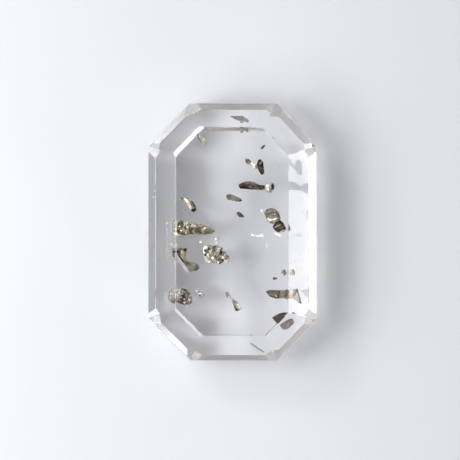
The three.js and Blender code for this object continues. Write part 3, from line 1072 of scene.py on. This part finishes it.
@dataclass
class Flaws:
    """The flakes, veils and pinpoints inside the stone, which are one joined mesh."""

    flakes: tuple[Flake, ...]
    veils: tuple[Veil, ...]
    pinpoints: tuple[tuple[float, float, float], ...]  # x, y and height of each
    flake_depth: float = 0.02
    spread: float = 0.45  # how far the bubbles of a veil stray, as a share of its reach
    bubble: tuple[float, float] = (0.015, 0.035)  # radius in a veil
    pinpoint: tuple[float, float] = (0.03, 0.042)  # radius of one that shows by itself
    seed: int = 41

    def add_ball(self, bm: bmesh.types.BMesh, place: Matrix, smoothness: int) -> None:
        """Adds one ball, or a flake pressed from a ball.

        Args:
            bm: The mesh to add to.
            place: Where it lies and how far it reaches each way.
            smoothness: How finely it is divided.
        """
        bmesh.ops.create_icosphere(bm, subdivisions=smoothness, radius=1.0, matrix=place)

    def add_flake(self, bm: bmesh.types.BMesh, flake: Flake) -> None:
        """Adds one flake, long, thin and leaning.

        Args:
            bm: The mesh to add to.
            flake: The flake.
        """
        start, end = Vector(flake.start), Vector(flake.end)
        run = end - start
        middle = (start + end) / 2
        size = Matrix.Diagonal((run.length / 2, flake.width / 2, self.flake_depth / 2, 1))
        turn = Matrix.Rotation(math.atan2(run.y, run.x), 4, "Z")
        lie = tipped(flake.bearing, flake.lean) @ turn
        self.add_ball(bm, Matrix.Translation((*middle, flake.height)) @ lie @ size, smoothness=3)

    def add_veil(self, bm: bmesh.types.BMesh, veil: Veil, rng: random.Random) -> None:
        """Adds the bubbles of one veil.

        Args:
            bm: The mesh to add to.
            veil: The veil.
            rng: The random numbers to use.
        """
        turn = Matrix.Rotation(math.radians(veil.turn), 4, "Z")
        size = Matrix.Diagonal((*veil.reach, 1))
        for _ in range(veil.count):
            away = Vector([rng.gauss(0, self.spread) for _ in veil.reach])
            away *= min(1, 1 / away.length)
            radius = rng.uniform(*self.bubble)
            place = Matrix.Translation(Vector(veil.at)) @ turn @ Matrix.Translation(size @ away)
            self.add_ball(bm, place @ Matrix.Scale(radius, 4), smoothness=1)

    def build(self) -> bpy.types.Object:
        """Builds every flaw.

        Returns:
            The joined mesh.
        """
        rng = random.Random(self.seed)
        bm = bmesh.new()
        for flake in self.flakes:
            self.add_flake(bm, flake)
        for veil in self.veils:
            self.add_veil(bm, veil, rng)
        for at in self.pinpoints:
            place = Matrix.Translation(Vector(at)) @ Matrix.Scale(rng.uniform(*self.pinpoint), 4)
            self.add_ball(bm, place, smoothness=2)
        flaws = finish_mesh(bm, "quartz_flaws", [HealedCrack().build()])
        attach(flaws, BODY)
        return flaws


FLAWS = Flaws(
    flakes=(
        Flake((-4.42, 0.45), (-4.4, 0.8), 4.3, 0.05, 180, 21),
        Flake((-4.4, 0.1), (-4.44, 0.25), 4.3, 0.09, 180, 21),
        Flake((-4.28, -0.2), (-4.36, 0.0), 4.3, 0.04, 180, 21),
        Flake((-4.2, -0.75), (-4.26, -0.9), 4.1, 0.08, 180, 21),
        Flake((-4.3, -1.1), (-4.34, -1.4), 4.1, 0.05, 180, 21),
        Flake((-4.28, -1.7), (-4.2, -1.9), 4.1, 0.05, 180, 21),
        Flake((-4.55, -4.3), (-4.5, -4.42), 3.9, 0.09, 180, 21),
        Flake((-4.5, -4.75), (-4.42, -4.95), 3.9, 0.05, 180, 21),
        Flake((-4.3, -5.02), (-4.15, -5.12), 3.9, 0.05, 180, 21),
        Flake((-3.9, -1.7), (-3.55, -2.3), 4.1, 0.05),
        Flake((-3.5, -2.36), (-3.2, -2.85), 4.1, 0.06),
        Flake((-2.06, -1.14), (-2.0, -1.7), 4.5, 0.1),
        Flake((-2.02, -1.66), (-1.82, -2.22), 4.5, 0.08),
        Flake((-1.43, 0.2), (-1.29, -0.09), 4.5, 0.2),
        Flake((-2.32, -0.67), (-2.23, -0.8), 4.3, 0.14),
        Flake((-1.22, -0.44), (-1.14, -0.6), 4.2, 0.13),
        Flake((-1.42, -0.87), (-1.36, -1.01), 4.2, 0.1),
        Flake((-4.13, -0.8), (-3.96, -1.01), 4.6, 0.18),
        Flake((-1.18, -0.7), (-1.09, -0.83), 4.2, 0.12),
        Flake((-2.53, 1.34), (-2.25, 1.06), 4.4, 0.06),
        Flake((-3.53, 1.6), (-3.46, 1.5), 4.6, 0.08),
        Flake((-2.78, -5.05), (-2.61, -4.62), 4.1, 0.11),
        Flake((-2.42, -4.45), (-2.21, -4.34), 4.0, 0.13),
        Flake((-2.61, -4.15), (-2.46, -4.3), 4.0, 0.08),
        Flake((-3.32, -5.3), (-3.11, -5.12), 4.0, 0.06),
        Flake((1.29, -0.16), (1.57, -0.27), 3.6, 0.1),
        Flake((1.89, -0.3), (2.21, -0.26), 3.6, 0.16),
        Flake((2.41, -0.8), (2.45, -1.3), 3.5, 0.06),
        Flake((3.01, -0.11), (3.46, -0.33), 3.9, 0.12),
        Flake((2.06, 1.6), (2.13, 1.34), 4.4, 0.13),
        Flake((1.75, -0.34), (1.96, -0.3), 3.6, 0.08),
        Flake((3.01, 4.68), (3.13, 4.55), 3.8, 0.12),
        Flake((1.43, 4.63), (1.68, 4.38), 3.6, 0.06),
        Flake((2.15, -4.23), (2.29, -4.37), 3.4, 0.08),
        Flake((-0.21, -3.94), (-0.11, -4.13), 3.4, 0.06),
    ),
    veils=(
        Veil((1.82, -0.26, 3.4), (0.55, 0.12, 0.2), 60, 8),
        Veil((2.93, -0.87, 3.3), (0.14, 0.35, 0.2), 40),
        Veil((-0.95, -0.5, 4.2), (0.35, 0.2, 0.2), 24),
        Veil((-2.7, 0.3, 4.2), (1.9, 0.75, 0.15), 190, 2),
        Veil((-3.98, 0.3, 4.4), (0.2, 0.7, 0.15), 60),
        Veil((-3.8, -1.7, 4.1), (0.6, 1.0, 0.2), 90, 20),
        Veil((-4.1, -4.55, 4.1), (0.5, 0.65, 0.2), 170, -10),
        Veil((-3.4, -4.6, 3.9), (1.5, 1.0, 0.2), 130, -10),
        Veil((-1.1, -1.6, 4.3), (1.2, 0.9, 0.2), 60),
        Veil((3.6, -4.3, 3.3), (1.4, 0.5, 0.2), 50, -15),
        Veil((2.2, 6.8, 3.6), (1.6, 1.2, 0.6), 46, 20),
        Veil((0.0, 0.0, 3.4), (5.2, 8.2, 1.9), 60),
    ),
    pinpoints=(
        (2.86, 7.95, 3.6),
        (3.07, 4.66, 3.8),
        (-2.25, -0.73, 3.9),
        (-3.5, 1.49, 3.4),
        (-5.2, 2.91, 3.1),
        (-5.35, 2.48, 3.1),
        (-0.93, -0.48, 4.2),
        (-0.7, -0.62, 4.1),
    ),
)


# ---------------------------------------------------------------- the studio


@dataclass(frozen=True)
class Pane:
    """One bright pane of the window, facing the stone."""

    azimuth: float  # degrees from +X
    elevation: float  # degrees over the level
    power: float  # watts
    colour: str = "#ffffff"
    size: float = 0.035  # metres


@dataclass(frozen=True)
class Glow:
    """A soft patch of light on the room's walls, seen from the stone."""

    azimuth: float  # degrees from +X
    elevation: float  # degrees over the level
    strength: float  # at its middle, where 1 is the brightness of plain white
    colour: str = "#ffffff"


@dataclass
class Studio:
    """A pale floor under soft light from the left, seen from straight above."""

    floor_reach: float = 0.6  # metres
    floor_gap: float = 0.03  # mm of air under the stone
    floor_colour: str = "#e7e8ea"
    glow_width: int = 16  # the higher, the narrower each glow
    shade: float = 0.5  # share of the light from straight above that the camera keeps off
    shade_width: int = 110  # the higher, the narrower the camera's shade
    glows: tuple[Glow, ...] = (
        Glow(0, 8, 1.31, "#fbfbff"),
        Glow(45, 8, 3.64, "#eef6ff"),
        Glow(90, 8, 0.05, "#fff8fb"),
        Glow(135, 8, 1.97, "#f8fcff"),
        Glow(180, 8, 1.71, "#ffe4cd"),
        Glow(225, 8, 1.27, "#f8fffd"),
        Glow(270, 8, 0.27, "#f1f5ff"),
        Glow(315, 8, 2.67, "#f0f9ff"),
        Glow(202, 30, 0.65, "#eff8ff"),
        Glow(247, 30, 0.16, "#cadfff"),
        Glow(60, 52, 0.13, "#fffaf2"),
        Glow(120, 52, 0.7, "#f9fbff"),
        Glow(315, 72, 0.97, "#fffbfb"),
    )
    pane_distance: float = 0.12  # metres from the stone
    panes: tuple[Pane, ...] = (
        Pane(136, 42, 0.0205, "#f6f9ff", 0.02),
        Pane(160, 40, 0.0155, "#ecf6ff"),
        Pane(180, 40, 0.0225, "#f6faff"),
        Pane(200, 40, 0.0185, "#e8f3ff"),
        Pane(225, 42, 0.0125, "#eefbff", 0.02),
        Pane(180, 59, 0.0385, "#fffcfc", 0.042),
        Pane(304, 9, 0.032, "#f6faff", 0.03),
    )
    camera_height: float = 0.45  # metres
    focus_height: float = 3.0  # mm over the base, where a pixel covers what is given below
    picture: int = 460  # pixels across the render
    pixel: float = 0.07139  # mm that one pixel covers
    camera_offset: tuple[float, float] = (-0.178, 0.128)  # mm from over the stone's middle

    def build_floor(self) -> None:
        """Lays the floor, a sheet of pale matt paper."""
        bm = bmesh.new()
        bmesh.ops.create_grid(bm, x_segments=1, y_segments=1, size=self.floor_reach / MM)
        bmesh.ops.translate(bm, vec=-UP * self.floor_gap, verts=bm.verts)
        material, _, shader = new_material("paper, matt")
        shader.inputs["Base Color"].default_value = linear(self.floor_colour)
        shader.inputs["Roughness"].default_value = 1.0
        shader.inputs["Specular IOR Level"].default_value = 0.0
        floor = finish_mesh(bm, "floor", [material])

    def build_window(self) -> None:
        """Hangs the panes of the window."""
        for number, pane in enumerate(self.panes, 1):
            light = bpy.data.lights.new(f"pane_{number}", "AREA")
            light.size = pane.size
            light.energy = pane.power
            light.color = linear(pane.colour)[:3]
            holder = bpy.data.objects.new(light.name, light)
            towards = direction_of(pane.azimuth, pane.elevation)
            holder.location = towards * self.pane_distance
            holder.rotation_euler = towards.to_track_quat("Z", "Y").to_euler()
            holder.visible_camera = False
            bpy.context.scene.collection.objects.link(holder)

    def build_room(self) -> None:
        """Lights the room's walls. It stays dark straight above, where the camera stands."""
        world = bpy.data.worlds.new("room")
        bpy.context.scene.world = world
        world.use_nodes = True
        tree = world.node_tree
        way = add_node(tree, "ShaderNodeTexCoord").outputs["Generated"]
        total = None
        for glow in self.glows:
            towards = direction_of(glow.azimuth, glow.elevation)
            facing = add_node(
                tree, "ShaderNodeVectorMath", {"operation": "DOT_PRODUCT"}, {0: way, 1: towards}
            ).outputs["Value"]
            front = add_node(
                tree, "ShaderNodeMath", {"operation": "MAXIMUM"}, {0: facing, 1: 0.0}
            ).outputs[0]
            spread = add_node(
                tree, "ShaderNodeMath", {"operation": "POWER"}, {0: front, 1: float(self.glow_width)}
            ).outputs[0]
            colour = Vector(linear(glow.colour)[:3]) * glow.strength
            lit = add_node(
                tree, "ShaderNodeVectorMath", {"operation": "SCALE"}, {0: colour, "Scale": spread}
            ).outputs[0]
            if total is None:
                total = lit
            else:
                total = add_node(
                    tree, "ShaderNodeVectorMath", {"operation": "ADD"}, {0: total, 1: lit}
                ).outputs[0]
        height = add_node(tree, "ShaderNodeSeparateXYZ", inputs={0: way}).outputs["Z"]
        near = add_node(tree, "ShaderNodeMath", {"operation": "MAXIMUM"}, {0: height, 1: 0.0}).outputs[0]
        under = add_node(
            tree, "ShaderNodeMath", {"operation": "POWER"}, {0: near, 1: float(self.shade_width)}
        ).outputs[0]
        left = add_node(
            tree, "ShaderNodeMath", {"operation": "MULTIPLY_ADD"}, {0: under, 1: -self.shade, 2: 1.0}
        ).outputs[0]
        background = tree.nodes["Background"].inputs
        tree.links.new(total, background["Color"])
        tree.links.new(left, background["Strength"])

    def build_camera(self) -> None:
        """Stands the camera over the stone."""
        camera = bpy.data.cameras.new("camera")
        camera.sensor_width = 36.0
        distance = self.camera_height - self.focus_height * MM
        camera.lens = camera.sensor_width * distance / (self.picture * self.pixel * MM)
        camera.clip_start = 0.01
        holder = bpy.data.objects.new("camera", camera)
        x, y = self.camera_offset
        holder.location = (x * MM, y * MM, self.camera_height)
        bpy.context.scene.collection.objects.link(holder)
        bpy.context.scene.camera = holder

    def build(self) -> None:
        """Builds the studio and lets light pass through the stone."""
        self.build_floor()
        self.build_window()
        self.build_room()
        self.build_camera()
        scene = bpy.context.scene
        scene.view_settings.view_transform = "Standard"
        scene.cycles.max_bounces = 24
        scene.cycles.transmission_bounces = 20
        scene.cycles.glossy_bounces = 12
        scene.cycles.diffuse_bounces = 4
        scene.cycles.caustics_refractive = True
        scene.cycles.caustics_reflective = True
        scene.cycles.blur_glossy = 0.0
        scene.cycles.sample_clamp_indirect = 10.0


# ---------------------------------------------------------------- the whole part


def report(piece: bpy.types.Object) -> None:
    """Reports a finished piece."""
    log.info("%s: %d faces", piece.name, len(piece.data.polygons))


def main() -> None:
    """Builds every piece in order and reports it."""
    logging.basicConfig(level=logging.INFO, format="%(message)s")
    noise.seed_set(NOISE_SEED)
    Studio().build()
    report(RockCrystal().build())
    materials = [FINISHES[tone].build(f"pyrite, {tone.name.lower()}") for tone in Tone]
    for crystal in CRYSTALS:
        report(crystal.build(materials))
    report(FLAWS.build())


if __name__ == "__main__":
    main()
